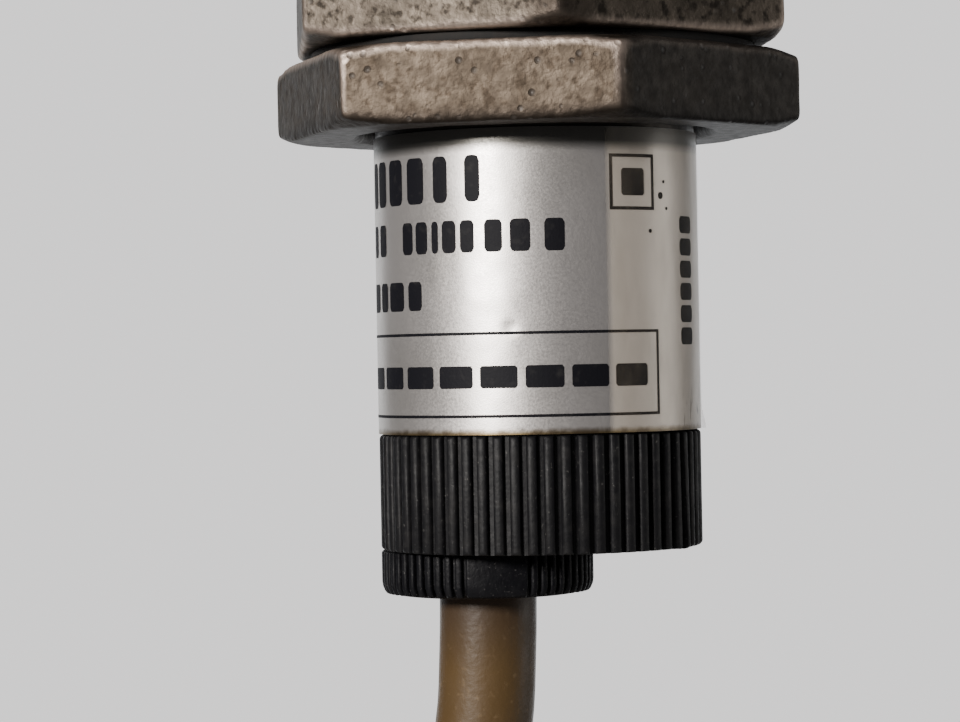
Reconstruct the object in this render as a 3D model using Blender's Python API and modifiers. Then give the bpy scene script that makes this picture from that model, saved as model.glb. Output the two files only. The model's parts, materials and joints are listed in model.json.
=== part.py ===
"""Cylindrical inductive proximity sensor with two lock nuts, a cable gland and a pre-wired cable.

The barrel's axis is the world Z axis. The origin is on that axis, at the plane where the two lock nuts meet.
+Z points to the sensing face, and the cable leaves along -Z.
"""
import math

import bmesh
import bpy
from mathutils import Vector

MM = 0.001

# Driving dimensions, in millimetres
THREAD_R = 9.0  # M18 x 1 barrel thread, major radius
OVERALL_LENGTH = 80.0
TAIL_Z = -27.65  # rear end of the gland nut
FACE_Z = TAIL_Z + OVERALL_LENGTH  # sensing face
NUT_ACROSS_FLATS = 24.0
NUT_THICKNESS = 4.0
WASHER_THICKNESS = 0.4
WASHER_R = 11.4
NUT_BORE_R = 9.1
TOUCH = 0.02  # gap between pieces that touch
PLAIN_R = 8.2  # barrel behind the thread
THREAD_END_Z = -4.5
BORE_R = 7.2
CAP_FRONT_Z = -19.4  # joint between barrel and end cap
CAP_REAR_Z = -25.3
CAP_RIB_R = 8.27
RIB_DEPTH = 0.35
RIB_COUNT = 60
GLAND_X = -2.82  # the cable's axis
GLAND_R = 5.45
GLAND_BORE_R = 2.75
LENS_X = 5.0
CABLE_D = 5.0
CONDUCTOR_D = 1.6
LABEL_FRONT_Z = -4.8
SLEEVE_R = 7.05
SLEEVE_INNER_R = 6.65
BOARD_HALF_THICKNESS = 0.5
NUT_CORNER_TURN = {"rear": 16.6, "front": 4.3}  # degrees about Z from -Y to each nut's nearest corner

# Cable storage hank: racetrack turns that hang below the sensor
HANK_RUN = 86.0
HANK_OUTER_R = 22.5
HANK_TOP_Z = -64.0  # upper end of the straight runs
HANK_X = -3.2
HANK_FRONT_Y = 2.8
HANK_DEPTH = 35.3
HANK_RUN_OFFSET = 20.0
HANK_BACK_RUN_Y = 35.35
JACKET_END_Z = -177.5
LEAD_END_Z = -222.5

STEPS_LARGE = 72
STEPS_MEDIUM = 48
STEPS_SMALL = 24

OBJECT_NAME = "proximity_sensor"


def clear_scene():
    for item in list(bpy.data.objects):
        bpy.data.objects.remove(item, do_unlink=True)


def new_collection(name):
    collection = bpy.data.collections.new(name)
    bpy.context.scene.collection.children.link(collection)
    return collection


def make_material(name, colour, roughness, metallic=0.0):
    material = bpy.data.materials.new(name)
    material.use_nodes = True
    shader = material.node_tree.nodes["Principled BSDF"]
    shader.inputs["Base Color"].default_value = (*colour, 1.0)
    shader.inputs["Roughness"].default_value = roughness
    shader.inputs["Metallic"].default_value = metallic
    material.diffuse_color = (*colour, 1.0)
    return material


def adopt(item, name, collection, material=None):
    """Name an object, give it its material and move it to its collection."""
    item.name = name
    item.data.name = name
    for old in list(item.users_collection):
        old.objects.unlink(item)
    collection.objects.link(item)
    if material is not None:
        item.data.materials.clear()
        item.data.materials.append(material)
    return item


def add_part(item, name, material):
    return adopt(item, name, PARTS, material)


def add_cutter(item, name):
    item.hide_render = True
    item.display_type = "WIRE"
    return adopt(item, name, CUTTERS)


def boolean(item, other, operation):
    modifier = item.modifiers.new(f"{operation.lower()} {other.name}", "BOOLEAN")
    modifier.operation = operation
    modifier.solver = "EXACT"
    modifier.object = other


def turned(profile, steps=STEPS_LARGE, centre=(0.0, 0.0), closed=True):
    """Turn a profile of (radius, z) points about Z. The points run down the outer side and up the inner one."""
    mesh = bpy.data.meshes.new("turned")
    shape = bmesh.new()
    points = [shape.verts.new((radius * MM, 0.0, z * MM)) for radius, z in profile]
    for first, second in zip(points, points[1:]):
        shape.edges.new((first, second))
    if closed:
        shape.edges.new((points[-1], points[0]))
    shape.to_mesh(mesh)
    shape.free()
    item = bpy.data.objects.new("turned", mesh)
    bpy.context.scene.collection.objects.link(item)
    item.location = (centre[0] * MM, centre[1] * MM, 0.0)
    screw = item.modifiers.new("turn", "SCREW")
    screw.steps = steps
    screw.render_steps = steps
    screw.use_merge_vertices = True
    screw.merge_threshold = 0.00001
    return item


def tube(outer, inner, low, high, steps=STEPS_LARGE, centre=(0.0, 0.0)):
    return turned([(outer, high), (outer, low), (inner, low), (inner, high)], steps, centre)


def rod(radius, low, high, steps=STEPS_SMALL, centre=(0.0, 0.0)):
    bpy.ops.mesh.primitive_cylinder_add(
        vertices=steps,
        radius=radius * MM,
        depth=(high - low) * MM,
        location=(centre[0] * MM, centre[1] * MM, (low + high) / 2 * MM),
    )
    return bpy.context.object


def block(size, centre):
    bpy.ops.mesh.primitive_cube_add(size=1.0, location=[value * MM for value in centre])
    item = bpy.context.object
    item.scale = [value * MM for value in size]
    return item


def lying_rod(radius, length, centre, axis, steps=STEPS_SMALL):
    turn = (0.0, math.pi / 2, 0.0) if axis == "X" else (math.pi / 2, 0.0, 0.0)
    bpy.ops.mesh.primitive_cylinder_add(
        vertices=steps,
        radius=radius * MM,
        depth=length * MM,
        location=[value * MM for value in centre],
        rotation=turn,
    )
    return bpy.context.object


def ribbed_rod(tip_r, depth, count, low, high, centre=(0.0, 0.0), smooth_arcs=()):
    """A cylinder with straight ribs, two points on each rib and two in each valley."""
    item = rod(tip_r, low, high, count * 4, centre)
    half_step = math.pi / (count * 4)
    valley_share = (tip_r - depth) / tip_r
    for vertex in item.data.vertices:
        angle = math.atan2(vertex.co.y, vertex.co.x) + half_step
        place = int(round(angle / (2 * half_step))) % 4
        smooth = any(abs(math.remainder(angle - middle, 2 * math.pi)) < half for middle, half in smooth_arcs)
        if place in (2, 3) and not smooth:
            vertex.co.x *= valley_share
            vertex.co.y *= valley_share
    return item


def cable_tube(points, diameter):
    """A round tube along a smooth curve through the route's points."""
    knots = [Vector(point) * MM for point in points]
    smooth = []
    for index in range(len(knots) - 1):
        before = knots[max(index - 1, 0)]
        start, end = knots[index], knots[index + 1]
        after = knots[min(index + 2, len(knots) - 1)]
        for part in range(3):
            t = part / 3
            tangent_in = (end - before) / 2
            tangent_out = (after - start) / 2
            smooth.append(
                start * (2 * t**3 - 3 * t**2 + 1)
                + tangent_in * (t**3 - 2 * t**2 + t)
                + end * (3 * t**2 - 2 * t**3)
                + tangent_out * (t**3 - t**2)
            )
    smooth.append(knots[-1])
    curve = bpy.data.curves.new("tube", "CURVE")
    curve.dimensions = "3D"
    curve.bevel_depth = diameter / 2 * MM
    curve.bevel_resolution = 2
    curve.use_fill_caps = True
    spline = curve.splines.new("POLY")
    spline.points.add(len(smooth) - 1)
    for point, place in zip(spline.points, smooth):
        point.co = (*place, 1.0)
    item = bpy.data.objects.new("tube", curve)
    bpy.context.scene.collection.objects.link(item)
    return item


def flat_outline(points, thickness, middle_y):
    """A flat outline in the XZ plane, extruded evenly to both sides of middle_y."""
    curve = bpy.data.curves.new("outline", "CURVE")
    curve.dimensions = "2D"
    curve.fill_mode = "BOTH"
    curve.extrude = thickness / 2 * MM
    for outline in points:
        spline = curve.splines.new("POLY")
        spline.use_cyclic_u = True
        spline.points.add(len(outline) - 1)
        for point, (x, z) in zip(spline.points, outline):
            point.co = (x * MM, z * MM, 0.0, 1.0)
    item = bpy.data.objects.new("outline", curve)
    bpy.context.scene.collection.objects.link(item)
    item.rotation_euler = (math.pi / 2, 0.0, 0.0)
    item.location = (0.0, middle_y * MM, 0.0)
    return item


# Housing


def build_barrel():
    chamfer = 0.5
    seat_r = 8.05
    seat_z = FACE_Z - 1.05
    profile = [
        (THREAD_R - chamfer, FACE_Z),
        (THREAD_R, FACE_Z - chamfer),
        (THREAD_R, THREAD_END_Z + 0.3),
        (PLAIN_R, THREAD_END_Z),
        (PLAIN_R, CAP_FRONT_Z + TOUCH),
        (BORE_R, CAP_FRONT_Z + TOUCH),
        (BORE_R, seat_z),
        (seat_r, seat_z),
        (seat_r, FACE_Z),
    ]
    add_part(turned(profile), "barrel", NICKEL)


def build_sensing_cap():
    flange_back = FACE_Z - 1.0
    profile = [
        (0.0, FACE_Z),
        (8.0, FACE_Z),
        (8.0, flange_back),
        (7.1, flange_back),
        (7.1, 37.5),
        (6.55, 37.5),
        (6.55, flange_back - TOUCH),
        (0.0, flange_back - TOUCH),
    ]
    add_part(turned(profile, closed=False), "sensing_cap", BLACK_PLASTIC)


def build_end_cap():
    spigot_r = 7.1
    spigot_z = -15.4
    hollow_z = -17.0
    grommet_seat_z = -19.4
    body = ribbed_rod(CAP_RIB_R, RIB_DEPTH, RIB_COUNT, CAP_REAR_Z, CAP_FRONT_Z)
    add_part(body, "end_cap", BLACK_PLASTIC)
    spigot = rod(spigot_r, CAP_FRONT_Z - 1.0, spigot_z, STEPS_LARGE)
    boolean(body, add_cutter(spigot, "cap_spigot"), "UNION")
    cuts = {
        "cap_hollow": rod(5.9, hollow_z, spigot_z + 1.0, STEPS_MEDIUM),
        "cap_gland_bore": rod(4.08, CAP_REAR_Z - 1.0, grommet_seat_z, STEPS_MEDIUM, (GLAND_X, 0.0)),
        "cap_cable_hole": rod(2.75, grommet_seat_z - 1.0, hollow_z + 1.0, STEPS_SMALL, (GLAND_X, 0.0)),
        "cap_lens_hole": rod(1.25, CAP_REAR_Z - 1.0, spigot_z + 1.0, STEPS_SMALL, (LENS_X, 0.0)),
        "cap_seal_groove": tube(spigot_r + 0.5, 6.55, -18.4, -17.6),
    }
    for name, cutter in cuts.items():
        boolean(body, add_cutter(cutter, name), "DIFFERENCE")


def build_cap_seal():
    bpy.ops.mesh.primitive_torus_add(
        major_segments=STEPS_MEDIUM,
        minor_segments=8,
        major_radius=6.875 * MM,
        minor_radius=0.28 * MM,
        location=(0.0, 0.0, -18.0 * MM),
    )
    add_part(bpy.context.object, "cap_seal_ring", RUBBER)


def build_label():
    rear_z = CAP_FRONT_Z + 0.05
    add_part(tube(8.30, 8.22, rear_z, LABEL_FRONT_Z), "rating_label", FOIL)
    add_part(tube(8.35, 8.31, rear_z + 0.1, LABEL_FRONT_Z - 0.1), "label_film", CLEAR_FILM)


# Mounting hardware


def build_nut(name, low, corner_turn):
    """A hexagon nut whose corners are cut back by a cone at both ends."""
    corner_r = NUT_ACROSS_FLATS / 2 / math.cos(math.pi / 6)
    high = low + NUT_THICKNESS
    nut = rod(corner_r, low, high, 6)
    nut.rotation_euler = (0.0, 0.0, math.radians(corner_turn))
    add_part(nut, name, NICKEL)
    end_r = 12.6
    drop = 0.7
    full_r = end_r + 2.0
    envelope = turned(
        [(0.0, high), (end_r, high), (full_r, high - drop), (full_r, low + drop), (end_r, low), (0.0, low)],
        closed=False,
    )
    boolean(nut, add_cutter(envelope, f"{name}_chamfer"), "INTERSECT")
    bore = rod(NUT_BORE_R, low - 1.0, high + 1.0, STEPS_LARGE)
    boolean(nut, add_cutter(bore, f"{name}_bore"), "DIFFERENCE")


def build_lock_washer(name, low):
    """A thin washer with inward teeth."""
    teeth = 16
    washer = rod(WASHER_R, low, low + WASHER_THICKNESS, STEPS_LARGE)
    add_part(washer, name, DARK_STEEL)
    hole = ribbed_rod(10.3, 10.3 - 9.15, teeth, low - 1.0, low + WASHER_THICKNESS + 1.0)
    boolean(washer, add_cutter(hole, f"{name}_hole"), "DIFFERENCE")


def build_mounting_hardware():
    half_gap = WASHER_THICKNESS / 2
    rear_low = -half_gap - NUT_THICKNESS
    front_low = half_gap + TOUCH
    build_nut("rear_lock_nut", rear_low, NUT_CORNER_TURN["rear"])
    build_lock_washer("rear_lock_washer", -half_gap + TOUCH / 2)
    build_nut("front_lock_nut", front_low + TOUCH / 2, NUT_CORNER_TURN["front"])
    build_lock_washer("front_lock_washer", front_low + NUT_THICKNESS + TOUCH * 1.5)


# Cable gland


def build_gland_nut():
    camera_side = -math.pi / 2 + math.radians(5.0)
    panel = math.radians(17.0)
    panels = [(camera_side, panel), (camera_side + math.pi, panel)]
    head = ribbed_rod(GLAND_R, 0.3, RIB_COUNT, TAIL_Z, CAP_REAR_Z - 0.05, (GLAND_X, 0.0), panels)
    add_part(head, "gland_nut", BLACK_PLASTIC)
    spigot = rod(3.98, CAP_REAR_Z - 1.0, -22.15, STEPS_MEDIUM, (GLAND_X, 0.0))
    boolean(head, add_cutter(spigot, "gland_spigot"), "UNION")
    bore = rod(GLAND_BORE_R, TAIL_Z - 1.0, -21.0, STEPS_MEDIUM, (GLAND_X, 0.0))
    boolean(head, add_cutter(bore, "gland_bore"), "DIFFERENCE")


def build_gland_seals():
    centre = (GLAND_X, 0.0)
    add_part(tube(3.95, 2.8, -22.1, -21.8, STEPS_MEDIUM, centre), "gland_washer", BRASS)
    add_part(tube(4.0, 2.65, -21.75, -19.45, STEPS_MEDIUM, centre), "cable_grommet", RUBBER)


def build_indicator():
    rod_low = CAP_REAR_Z - 0.15
    lens = rod(1.2, rod_low, -12.5, STEPS_SMALL, (LENS_X, 0.0))
    add_part(lens, "indicator_lens", CLEAR_LENS)
    light = rod(1.0, -12.4, -9.8, STEPS_SMALL, (LENS_X, 0.0))
    add_part(light, "indicator_led", AMBER)


# Sensing element


def build_sensing_element():
    core = [
        (6.45, 51.15),
        (6.45, 44.9),
        (1.0, 44.9),
        (1.0, 51.15),
        (3.0, 51.15),
        (3.0, 46.75),
        (5.6, 46.75),
        (5.6, 51.15),
    ]
    item = add_part(turned(core, STEPS_MEDIUM), "ferrite_core", FERRITE)
    bobbin = [
        (5.5, 51.1),
        (5.5, 50.7),
        (3.5, 50.7),
        (3.5, 47.25),
        (5.5, 47.25),
        (5.5, 46.85),
        (3.1, 46.85),
        (3.1, 51.1),
    ]
    add_part(turned(bobbin, STEPS_MEDIUM), "coil_bobbin", WHITE_PLASTIC)
    add_part(tube(5.35, 3.55, 47.3, 50.65, STEPS_MEDIUM), "coil_winding", COPPER)
    lead_y = -0.8
    for side, name in ((-1, "left"), (1, "right")):
        centre = (side * 4.3, lead_y)
        hole = rod(0.45, 44.0, 47.0, 12, centre)
        boolean(item, add_cutter(hole, f"core_lead_hole_{name}"), "DIFFERENCE")
        add_part(rod(0.2, 41.0, 46.8, 8, centre), f"coil_lead_{name}", COPPER)


# Electronics


def build_board():
    low, high = -13.0, 43.0
    board = block((12.4, BOARD_HALF_THICKNESS * 2, high - low), (0.0, 0.0, (low + high) / 2))
    add_part(board, "circuit_board", BOARD_GREEN)
    notch = block((3.0, 4.0, 6.0), (LENS_X + 0.1, 0.0, low + 2.0))
    boolean(board, add_cutter(notch, "board_light_notch"), "DIFFERENCE")


def on_board(side, height):
    """Y of the middle of a component of that height on the board's front (-1) or back (1) face."""
    return side * (BOARD_HALF_THICKNESS + TOUCH + height / 2)


def build_board_blocks():
    front, back = -1, 1
    # name, face, width, height off the board, length along Z, x, z, material
    chips = [
        ("oscillator_chip", front, 3.9, 1.5, 4.9, 0.0, 35.0, BLACK_PLASTIC),
        ("switching_transistor", front, 1.3, 1.0, 2.9, -2.0, 29.0, BLACK_PLASTIC),
        ("gain_trimmer", front, 4.0, 2.0, 4.0, 0.0, 20.0, WHITE_PLASTIC),
        ("thyristor", front, 6.1, 2.3, 6.5, 0.0, 8.0, BLACK_PLASTIC),
        ("ceramic_capacitor_front", front, 3.2, 1.2, 1.6, 2.5, 40.5, CERAMIC),
        ("ceramic_capacitor_middle", front, 3.2, 1.2, 1.6, 0.0, 25.0, CERAMIC),
        ("bridge_rectifier", back, 8.3, 2.6, 6.4, 0.0, 2.0, BLACK_PLASTIC),
    ]
    for name, side, width, height, length, x, z, material in chips:
        add_part(block((width, height, length), (x, on_board(side, height), z)), name, material)


def build_board_rods():
    back = 1
    # name, radius, length, x, z, axis, material
    rods = [
        ("film_resistor_front", 0.8, 3.5, 2.8, 29.0, "X", CERAMIC),
        ("film_resistor_rear", 0.8, 3.5, 0.0, 14.5, "X", CERAMIC),
    ]
    for name, radius, length, x, z, axis, material in rods:
        centre = (x, on_board(-back, radius * 2), z)
        add_part(lying_rod(radius, length, centre, axis), name, material)
    upright = [
        ("series_resistor", 1.15, 30.0, 37.0, 0.0, CERAMIC),
        ("zener_diode", 1.2, 21.0, 26.0, 0.0, GLASS_ORANGE),
        ("filter_capacitor", 2.0, 9.0, 17.0, 0.0, BLACK_PLASTIC),
    ]
    for name, radius, low, high, x, material in upright:
        centre = (x, on_board(back, radius * 2))
        add_part(rod(radius, low, high, STEPS_SMALL, centre), name, material)
    thickness = 3.0
    disc = lying_rod(3.4, thickness, (0.0, on_board(back, thickness), -5.5), "Y")
    add_part(disc, "varistor", CERAMIC)


def build_sleeve_and_resin():
    sleeve = tube(SLEEVE_R, SLEEVE_INNER_R, -14.9, 37.2)
    add_part(sleeve, "insulating_sleeve", SLEEVE_BROWN)
    plug_low, plug_high = -14.8, -11.0
    plug = rod(SLEEVE_INNER_R - 0.1, plug_low, plug_high, STEPS_LARGE)
    add_part(plug, "potting_resin", RESIN)
    slot = block((12.6, BOARD_HALF_THICKNESS * 2 + 0.1, 4.0), (0.0, 0.0, -13.05 + 2.0))
    boolean(plug, add_cutter(slot, "resin_board_slot"), "DIFFERENCE")
    holes = {
        "resin_light_hole": (1.3, (LENS_X, 0.0)),
        "resin_brown_hole": (0.9, INNER_LEADS["inner_brown_lead"]),
        "resin_blue_hole": (0.9, INNER_LEADS["inner_blue_lead"]),
    }
    for name, (radius, centre) in holes.items():
        cutter = rod(radius, plug_low - 1.0, plug_high + 1.0, STEPS_SMALL, centre)
        boolean(plug, add_cutter(cutter, name), "DIFFERENCE")


# Cable


def build_cable_inner_end():
    centre = (GLAND_X, 0.0)
    inner = rod(CABLE_D / 2, TAIL_Z + 0.3, -16.2, STEPS_SMALL, centre)
    add_part(inner, "cable_inner_end", CABLE_OLIVE)
    for name, material in (("inner_brown_lead", WIRE_BROWN), ("inner_blue_lead", WIRE_BLUE)):
        add_part(rod(CONDUCTOR_D / 2, -16.1, -10.5, 16, INNER_LEADS[name]), name, material)


def build_free_cable():
    left_run_x = HANK_X - HANK_RUN_OFFSET
    route = [
        (GLAND_X, 0.0, TAIL_Z),
        (GLAND_X, 0.0, TAIL_Z - 3.0),
        (GLAND_X - 0.2, 0.0, TAIL_Z - 7.0),
        (GLAND_X - 1.6, 0.0, TAIL_Z - 12.5),
        (GLAND_X - 5.2, 0.0, TAIL_Z - 18.5),
        (GLAND_X - 10.4, 0.0, TAIL_Z - 24.0),
        (GLAND_X - 15.9, 0.0, TAIL_Z - 29.5),
        (GLAND_X - 19.2, 0.0, TAIL_Z - 35.5),
        (left_run_x, 0.0, TAIL_Z - 42.0),
        (left_run_x, 0.0, TAIL_Z - 48.0),
    ]
    add_part(cable_tube(route, CABLE_D), "cable", CABLE_OLIVE)


def build_hank():
    half_run = HANK_RUN / 2
    middle_z = HANK_TOP_Z - half_run
    steps = 16
    outline = []
    for end in (1, -1):
        for step in range(steps + 1):
            angle = math.pi * step / steps + (0.0 if end > 0 else math.pi)
            x = HANK_X + HANK_OUTER_R * math.cos(angle)
            z = middle_z + end * half_run + HANK_OUTER_R * math.sin(angle)
            outline.append((x, z))
    hank = flat_outline([outline], HANK_DEPTH, HANK_FRONT_Y + HANK_DEPTH / 2)
    add_part(hank, "cable_hank", CABLE_OLIVE)


def build_hank_tie():
    gap = 0.3
    band = 0.8
    inner = (2 * (HANK_OUTER_R + gap), HANK_DEPTH + 2 * gap, 10.0)
    outer = (inner[0] + 2 * band, inner[1] + 2 * band, 5.0)
    centre = (HANK_X, HANK_FRONT_Y + HANK_DEPTH / 2, HANK_TOP_Z - HANK_RUN / 2)
    tie = add_part(block(outer, centre), "hank_tie", RUBBER)
    boolean(tie, add_cutter(block(inner, centre), "hank_tie_opening"), "DIFFERENCE")


def build_tail():
    x = HANK_X - HANK_RUN_OFFSET
    y = HANK_BACK_RUN_Y
    top_z = HANK_TOP_Z - HANK_RUN - 14.5
    tail = [(x, y, top_z), (x, y, JACKET_END_Z)]
    add_part(cable_tube(tail, CABLE_D), "cable_tail", CABLE_OLIVE)
    tip_length = 6.0
    for side, name, material in ((-1, "brown", WIRE_BROWN), (1, "blue", WIRE_BLUE)):
        start = x + side * 1.1
        lead = [
            (start, y, JACKET_END_Z - 0.3),
            (start + side * 1.0, y, JACKET_END_Z - 12.0),
            (start + side * 2.6, y, JACKET_END_Z - 26.0),
            (start + side * 3.0, y, LEAD_END_Z + tip_length + 0.3),
        ]
        add_part(cable_tube(lead, CONDUCTOR_D), f"{name}_lead", material)
        tip = rod(0.45, LEAD_END_Z, LEAD_END_Z + tip_length, 12, (start + side * 3.0, y))
        add_part(tip, f"{name}_lead_tip", TIN)


clear_scene()
PARTS = new_collection(OBJECT_NAME)
CUTTERS = new_collection("cutters")

NICKEL = make_material("nickel_plated_brass", (0.46, 0.42, 0.37), 0.35, 1.0)
BRASS = make_material("brass", (0.72, 0.55, 0.28), 0.35, 1.0)
DARK_STEEL = make_material("dark_spring_steel", (0.06, 0.055, 0.05), 0.5, 1.0)
COPPER = make_material("copper", (0.75, 0.35, 0.18), 0.35, 1.0)
TIN = make_material("tinned_copper", (0.70, 0.70, 0.70), 0.35, 1.0)
FOIL = make_material("silver_foil", (0.55, 0.53, 0.50), 0.40, 1.0)
CLEAR_FILM = make_material("clear_film", (0.80, 0.78, 0.72), 0.25)
BLACK_PLASTIC = make_material("black_plastic", (0.012, 0.012, 0.013), 0.55)
WHITE_PLASTIC = make_material("white_plastic", (0.80, 0.79, 0.74), 0.5)
RUBBER = make_material("black_rubber", (0.02, 0.02, 0.02), 0.75)
FERRITE = make_material("ferrite", (0.05, 0.05, 0.055), 0.6)
CERAMIC = make_material("ceramic", (0.55, 0.42, 0.25), 0.5)
GLASS_ORANGE = make_material("orange_glass", (0.70, 0.25, 0.06), 0.15)
BOARD_GREEN = make_material("board_green", (0.03, 0.16, 0.07), 0.45)
SLEEVE_BROWN = make_material("insulating_paper", (0.45, 0.30, 0.14), 0.6)
RESIN = make_material("potting_resin", (0.05, 0.04, 0.035), 0.35)
CLEAR_LENS = make_material("clear_lens", (0.85, 0.80, 0.70), 0.1)
AMBER = make_material("amber_lens", (0.90, 0.40, 0.05), 0.2)
CABLE_OLIVE = make_material("olive_cable_jacket", (0.15, 0.10, 0.045), 0.45)
WIRE_BROWN = make_material("brown_wire", (0.14, 0.05, 0.02), 0.45)
WIRE_BLUE = make_material("blue_wire", (0.02, 0.09, 0.35), 0.45)

INNER_LEADS = {
    "inner_brown_lead": (GLAND_X - 0.9, -1.35),
    "inner_blue_lead": (GLAND_X + 0.9, 1.35),
}

build_barrel()
build_sensing_cap()
build_end_cap()
build_cap_seal()
build_label()
build_mounting_hardware()
build_gland_nut()
build_gland_seals()
build_indicator()
build_sensing_element()
build_board()
build_board_blocks()
build_board_rods()
build_sleeve_and_resin()
build_cable_inner_end()
build_free_cable()
build_hank()
build_hank_tie()
build_tail()
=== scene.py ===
# %% [markdown]
# # A screw-in proximity sensor
# The sensor is a threaded metal barrel with two lock nuts. Its plain rear end carries a foil label.
# A ribbed black cap closes it, and an off-centre gland lets the cable out.
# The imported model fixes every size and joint. This lesson gives each piece its finished shape and surface.

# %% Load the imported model
import json
import math

import bpy
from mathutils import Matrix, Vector


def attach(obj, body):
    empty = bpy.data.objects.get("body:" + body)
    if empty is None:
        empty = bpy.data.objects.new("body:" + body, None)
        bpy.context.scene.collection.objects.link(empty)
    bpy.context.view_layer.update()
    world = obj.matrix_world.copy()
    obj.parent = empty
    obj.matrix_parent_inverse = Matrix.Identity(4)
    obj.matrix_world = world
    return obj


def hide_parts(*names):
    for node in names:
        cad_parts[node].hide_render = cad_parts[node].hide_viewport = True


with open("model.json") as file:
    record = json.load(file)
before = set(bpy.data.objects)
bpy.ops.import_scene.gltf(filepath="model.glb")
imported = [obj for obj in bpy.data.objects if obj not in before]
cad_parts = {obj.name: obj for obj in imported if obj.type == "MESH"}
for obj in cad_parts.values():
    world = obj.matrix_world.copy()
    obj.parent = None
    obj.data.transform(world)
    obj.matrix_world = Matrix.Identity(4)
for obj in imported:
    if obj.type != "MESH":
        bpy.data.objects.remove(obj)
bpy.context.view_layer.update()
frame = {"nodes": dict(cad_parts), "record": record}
MM = 0.001

# %% [markdown]
# ## Camera
# The camera stands level with the label and looks straight at it through a long lens.
# The sensor hangs a little askew, so the camera is rolled by one degree instead of moving the model.

# %% Camera
EYE = Vector((-3.02, -165.0, -15.7))
ROLL = 1.08
LONG_LENS = 120.0
camera_data = bpy.data.cameras.new("camera")
camera_data.lens = LONG_LENS
camera_data.sensor_width = 36.0
camera_data.clip_start = 0.01
camera_data.clip_end = 20.0
camera = bpy.data.objects.new("camera", camera_data)
camera.location = EYE * MM
camera.rotation_euler = (math.radians(90.0), math.radians(ROLL), 0.0)
bpy.context.scene.collection.objects.link(camera)
bpy.context.scene.camera = camera
print("camera", tuple(camera.location))

# %% [markdown]
# ## Route of the cable
# The cable is 2 m of stiff 5 mm jacket. It leaves the gland, leans left and drops into a storage hank.
# A curve through measured points is the natural way, because a cable is one line with a constant thickness.
# Every turn of the hank steps one layer back along its left run, so that no strand passes through another.

# %% Route points
GLAND_X = -2.82
TAIL_Z = -27.65
HANK_X = -3.2
HANK_R = 20.0
HANK_TOP = -64.0
HANK_LOW = -150.0
LAYER = 5.05
TURNS = 6
JACKET_END = -177.5
JACKET_R = 2.5
RUN_START = TAIL_Z - 48.0


def smooth_route(points, parts):
    """Pass a smooth line through the points, with a few extra points in each span."""
    line = []
    last = len(points) - 1
    for index in range(last):
        a, b = Vector(points[index]), Vector(points[index + 1])
        before = Vector(points[max(index - 1, 0)])
        after = Vector(points[min(index + 2, last)])
        for part in range(parts):
            t = part / parts
            line.append(
                a * (2 * t**3 - 3 * t**2 + 1)
                + (b - before) / 2 * (t**3 - 2 * t**2 + t)
                + b * (3 * t**2 - 2 * t**3)
                + (after - a) / 2 * (t**3 - t**2)
            )
    line.append(Vector(points[last]))
    return line


drop = [(0, 0), (-0.08, -3), (-0.38, -7), (-1.6, -12.5)]
drop += [(-5.2, -18.5), (-10.4, -24), (-15.9, -29.5), (-19.2, -35.5)]
entry = [(GLAND_X + x, 0.0, TAIL_Z + z) for x, z in drop]
left_x = HANK_X - HANK_R
entry += [(left_x, 0.0, TAIL_Z - 42.0), (left_x, 0.0, RUN_START)]
route = smooth_route(entry, 4)
print("entry points", len(route))

# %% Turns of the hank


def step_back(top, layer, points):
    """One left run, going down, that eases back by one layer on its way."""
    for index in range(1, points + 1):
        t = index / points
        y = (layer + (1 - math.cos(math.pi * t)) / 2) * LAYER
        route.append(Vector((left_x, y, top + (HANK_LOW - top) * t)))


def half_loop(y, centre_z, first, last):
    """Half a turn round one end of the hank, between two angles in degrees."""
    points = 16
    for index in range(1, points + 1):
        angle = math.radians(first + (last - first) * index / points)
        x = HANK_X + HANK_R * math.cos(angle)
        route.append(Vector((x, y, centre_z + HANK_R * math.sin(angle))))


for turn in range(TURNS):
    step_back(RUN_START if turn == 0 else HANK_TOP, turn, 12)
    half_loop((turn + 1) * LAYER, HANK_LOW, 180, 360)
    route.append(Vector((HANK_X + HANK_R, (turn + 1) * LAYER, HANK_TOP)))
    half_loop((turn + 1) * LAYER, HANK_TOP, 0, 180)
step_back(HANK_TOP, TURNS, 12)
route.append(Vector((left_x, (TURNS + 1) * LAYER, JACKET_END)))
jacket_length = sum((b - a).length for a, b in zip(route, route[1:]))
print("jacket length, mm", round(jacket_length, 1))

# %% Cable jacket
jacket_line = bpy.data.curves.new("cable_jacket", "CURVE")
jacket_line.dimensions = "3D"
spline = jacket_line.splines.new("POLY")
spline.points.add(len(route) - 1)
for point, place in zip(spline.points, route):
    point.co = (*(place * MM), 1.0)
jacket_line.bevel_depth = JACKET_R * MM
jacket_line.bevel_resolution = 8
jacket_line.use_fill_caps = True
jacket = bpy.data.objects.new("cable_jacket", jacket_line)
bpy.context.scene.collection.objects.link(jacket)
bpy.ops.object.select_all(action="DESELECT")
jacket.select_set(True)
bpy.context.view_layer.objects.active = jacket
bpy.ops.object.convert(target="MESH")
bpy.ops.object.shade_smooth_by_angle(angle=math.radians(50))
jacket = bpy.context.object
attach(jacket, "sensor")
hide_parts("cable", "cable_hank", "cable_tail")

# %% [markdown]
# ## Workshop helpers
# Nearly every piece starts as a round bar. These helpers add one, choose some of its faces by their place, and cut or
# round it. They keep the rest of the lesson short.

# %% Select one piece


def take(piece):
    """Select this piece alone and make it the active one."""
    bpy.ops.object.select_all(action="DESELECT")
    piece.select_set(True)
    bpy.context.view_layer.objects.active = piece


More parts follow.
